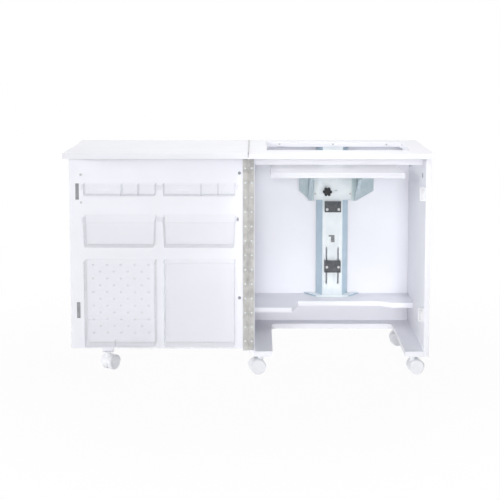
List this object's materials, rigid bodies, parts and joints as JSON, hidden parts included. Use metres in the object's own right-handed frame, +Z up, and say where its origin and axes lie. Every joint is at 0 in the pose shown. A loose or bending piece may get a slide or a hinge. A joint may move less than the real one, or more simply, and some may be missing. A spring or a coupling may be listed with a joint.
{
  "type": "sewing cabinet",
  "caption": "White sewing cabinet on casters with a fold-over lid, a swing-out storage door with clear bins, and a column lift that raises the machine platform.",
  "frame": {"origin": "on the floor under the seam between lid and base top, midway front to back", "axes": "+X to the right along the opened table, -Y towards the sewer, +Z up"},
  "size_m": [1.25, 0.5, 0.7691],
  "materials": {
    "white_laminate": "white melamine-faced board, satin",
    "zinc_steel": "zinc-plated folded steel",
    "bright_zinc": "bright zinc-plated sheet",
    "hinge_steel": "nickel-plated piano hinge",
    "bright_steel": "bright plated fasteners and handle",
    "clear_plastic": "clear moulded plastic",
    "frosted_plastic": "frosted moulded plastic",
    "black_plastic": "black moulded plastic",
    "dark_block": "dark grey nylon block",
    "white_plastic": "white moulded plastic",
    "guide_nylon": "natural nylon guides",
    "dark_steel": "dark painted steel",
    "dull_steel": "dull plated steel"
  },
  "bodies": {
    "base": {"base_top": "white_laminate", "left_side_panel": "white_laminate", "right_side_panel": "white_laminate", "back_panel": "white_laminate", "bottom_shelf": "white_laminate", "front_apron": "white_laminate", "foot_frame": "white_laminate", "insert_clips": "white_plastic", "magnetic_catches": "white_plastic", "lift_column": "bright_zinc", "column_base_plate": "bright_zinc", "column_top_bracket": "zinc_steel", "stop_block": "dark_block", "stop_block_bolts": "bright_steel", "catch_hook": "dull_steel", "gas_spring_cylinder": "dark_steel", "door_hinge_base_leaf": "hinge_steel", "lid_hinge_base_leaf": "hinge_steel", "hinge_pins": "hinge_steel", "caster_plates": "zinc_steel", "base_screws": "bright_steel"},
    "lid": {"lid_panel": "white_laminate", "lid_hinge_lid_leaf": "hinge_steel", "lid_hinge_lid_screws": "bright_steel"},
    "door": {"door_panel": "white_laminate", "hinge_stile": "white_laminate", "door_hinge_door_leaf": "hinge_steel", "strike_plates": "dull_steel", "door_handle": "bright_steel", "door_screws": "bright_steel", "bin_clips": "clear_plastic", "door_caster_saddle": "white_plastic", "peg_board": "frosted_plastic", "thread_pegs": "clear_plastic", "thread_pocket": "clear_plastic", "pattern_bin": "frosted_plastic"},
    "carriage": {"lift_platform": "white_laminate", "carriage_plate": "bright_zinc", "left_wing": "zinc_steel", "right_wing": "zinc_steel", "carriage_rear_plate": "zinc_steel", "guide_blocks": "guide_nylon", "carriage_bolts": "bright_steel", "bumper_block": "dark_block", "gas_spring_rod": "bright_steel"},
    "knob": {"lock_knob": "black_plastic"},
    "left_tray": {"thread_tray_left": "clear_plastic"},
    "right_tray": {"thread_tray_right": "clear_plastic"},
    "left_bin": {"notion_bin_left": "clear_plastic"},
    "right_bin": {"notion_bin_right": "clear_plastic"},
    "front_left_caster": {"front_left_caster_hood": "white_plastic"},
    "front_left_wheels": {"front_left_caster_wheels": "white_plastic"},
    "front_right_caster": {"front_right_caster_hood": "white_plastic"},
    "front_right_wheels": {"front_right_caster_wheels": "white_plastic"},
    "rear_left_caster": {"rear_left_caster_hood": "white_plastic"},
    "rear_left_wheels": {"rear_left_caster_wheels": "white_plastic"},
    "rear_right_caster": {"rear_right_caster_hood": "white_plastic"},
    "rear_right_wheels": {"rear_right_caster_wheels": "white_plastic"},
    "door_caster": {"door_caster_hood": "white_plastic"},
    "door_wheels": {"door_caster_wheels": "white_plastic"}
  },
  "joints": [
    {"name": "lid_fold", "type": "hinge", "parent": "base", "child": "lid", "pos_m": [0, 0, 0.7673], "axis": [0, 1, 0], "range_deg": [0, 180]},
    {"name": "door_swing", "type": "hinge", "parent": "base", "child": "door", "pos_m": [0, -0.1947, 0], "axis": [0, 0, 1], "range_deg": [0, 180]},
    {"name": "lift_slide", "type": "slide", "parent": "base", "child": "carriage", "axis": [0, 0, 1], "range_m": [-0.175, 0.08]},
    {"name": "knob_turn", "type": "hinge", "parent": "carriage", "child": "knob", "pos_m": [0.2894, 0.164, 0.5845], "axis": [0, -1, 0], "range_deg": [-180, 180]},
    {"name": "left_tray_lift", "type": "slide", "parent": "door", "child": "left_tray", "axis": [0, 0, 1], "range_m": [0, 0.015]},
    {"name": "right_tray_lift", "type": "slide", "parent": "door", "child": "right_tray", "axis": [0, 0, 1], "range_m": [0, 0.015]},
    {"name": "left_bin_lift", "type": "slide", "parent": "door", "child": "left_bin", "axis": [0, 0, 1], "range_m": [0, 0.015]},
    {"name": "right_bin_lift", "type": "slide", "parent": "door", "child": "right_bin", "axis": [0, 0, 1], "range_m": [0, 0.015]},
    {"name": "front_left_swivel", "type": "hinge", "parent": "base", "child": "front_left_caster", "pos_m": [0.042, -0.192, 0], "axis": [0, 0, 1], "continuous": true},
    {"name": "front_left_roll", "type": "hinge", "parent": "front_left_caster", "child": "front_left_wheels", "pos_m": [0.03041, -0.19511, 0.025], "axis": [0.2588, -0.9659, 0], "continuous": true},
    {"name": "front_right_swivel", "type": "hinge", "parent": "base", "child": "front_right_caster", "pos_m": [0.565, -0.192, 0], "axis": [0, 0, 1], "continuous": true},
    {"name": "front_right_roll", "type": "hinge", "parent": "front_right_caster", "child": "front_right_wheels", "pos_m": [0.57688, -0.19033, 0.025], "axis": [-0.1392, 0.9903, 0], "continuous": true},
    {"name": "rear_left_swivel", "type": "hinge", "parent": "base", "child": "rear_left_caster", "pos_m": [0.052, 0.19, 0], "axis": [0, 0, 1], "continuous": true},
    {"name": "rear_left_roll", "type": "hinge", "parent": "rear_left_caster", "child": "rear_left_wheels", "pos_m": [0.04072, 0.1941, 0.025], "axis": [-0.342, -0.9397, 0], "continuous": true},
    {"name": "rear_right_swivel", "type": "hinge", "parent": "base", "child": "rear_right_caster", "pos_m": [0.568, 0.19, 0], "axis": [0, 0, 1], "continuous": true},
    {"name": "rear_right_roll", "type": "hinge", "parent": "rear_right_caster", "child": "rear_right_wheels", "pos_m": [0.556, 0.19, 0.025], "axis": [0, -1, 0], "continuous": true},
    {"name": "door_swivel", "type": "hinge", "parent": "door", "child": "door_caster", "pos_m": [-0.489, -0.1504, 0], "axis": [0, 0, 1], "continuous": true},
    {"name": "door_roll", "type": "hinge", "parent": "door_caster", "child": "door_wheels", "pos_m": [-0.48195, -0.14069, 0.025], "axis": [-0.809, 0.5878, 0], "continuous": true}
  ]
}
